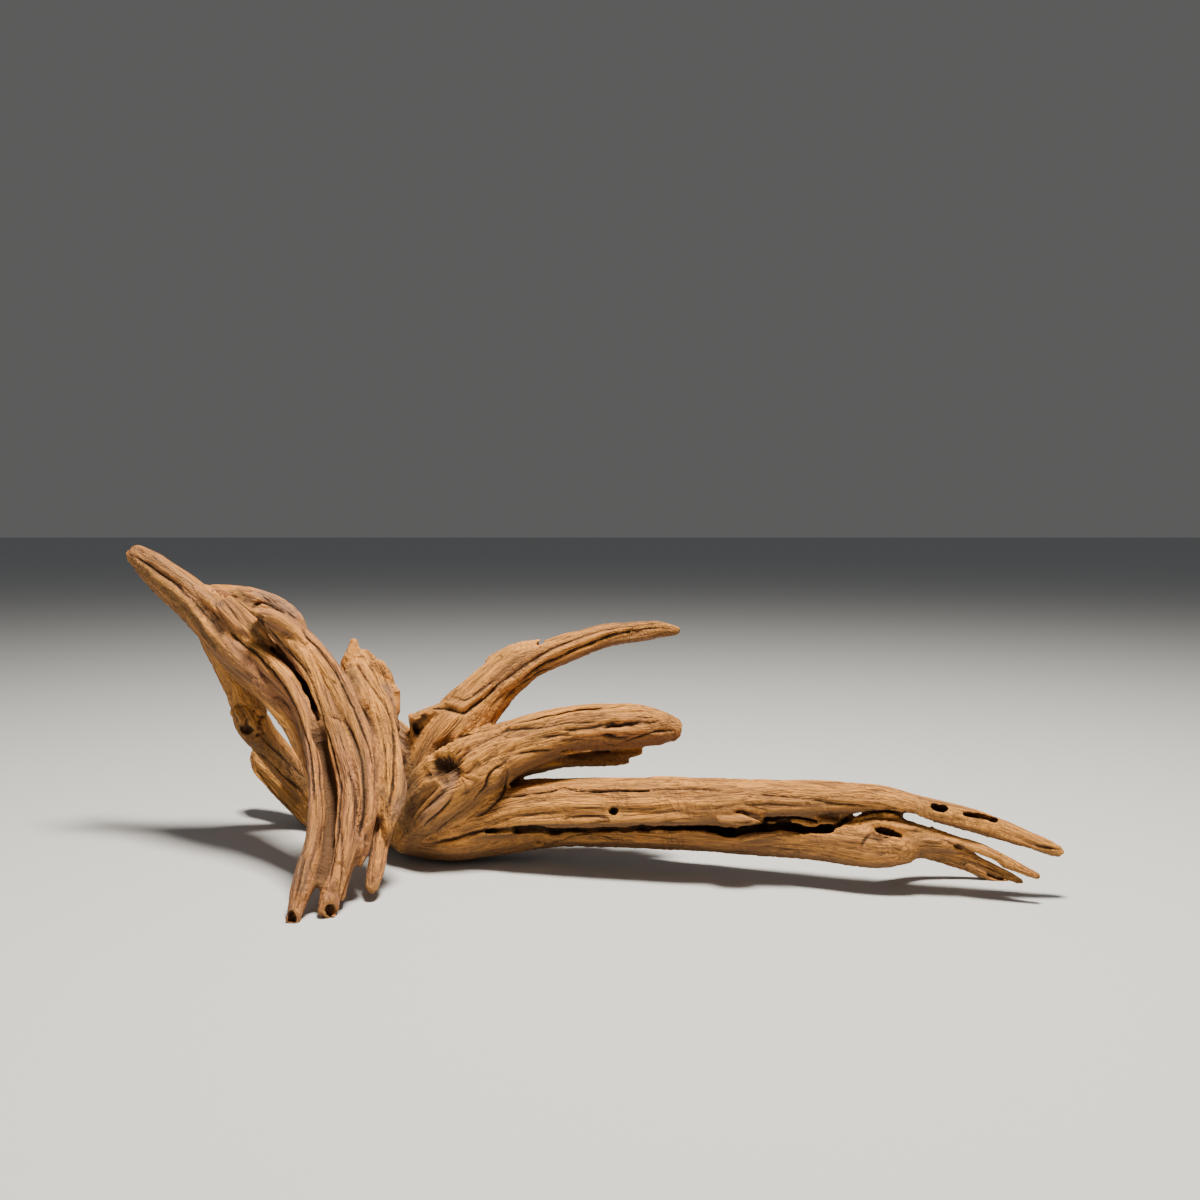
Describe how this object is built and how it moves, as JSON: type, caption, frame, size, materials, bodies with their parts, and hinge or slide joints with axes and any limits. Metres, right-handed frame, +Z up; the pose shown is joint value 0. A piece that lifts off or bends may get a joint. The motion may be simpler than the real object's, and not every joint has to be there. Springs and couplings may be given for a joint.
{
  "type": "malaysian driftwood",
  "caption": "Branching driftwood root: a bundle of cords under a raised horn, a knotted hub, two arms and a long split limb, standing on three low points.",
  "frame": {"origin": "middle of the bounding box in X and Y, on the surface that the wood stands on", "axes": "+X from the raised horn towards the tip of the long limb, +Y away from the side with the bundle of cords, +Z up"},
  "size_m": [0.5341, 0.2358, 0.1841],
  "materials": {
    "driftwood_wood": "dry weathered grain, matte, warm tan limbs and pinkish brown cords"
  },
  "bodies": {
    "root": {"driftwood": "driftwood_wood"}
  },
  "joints": []
}
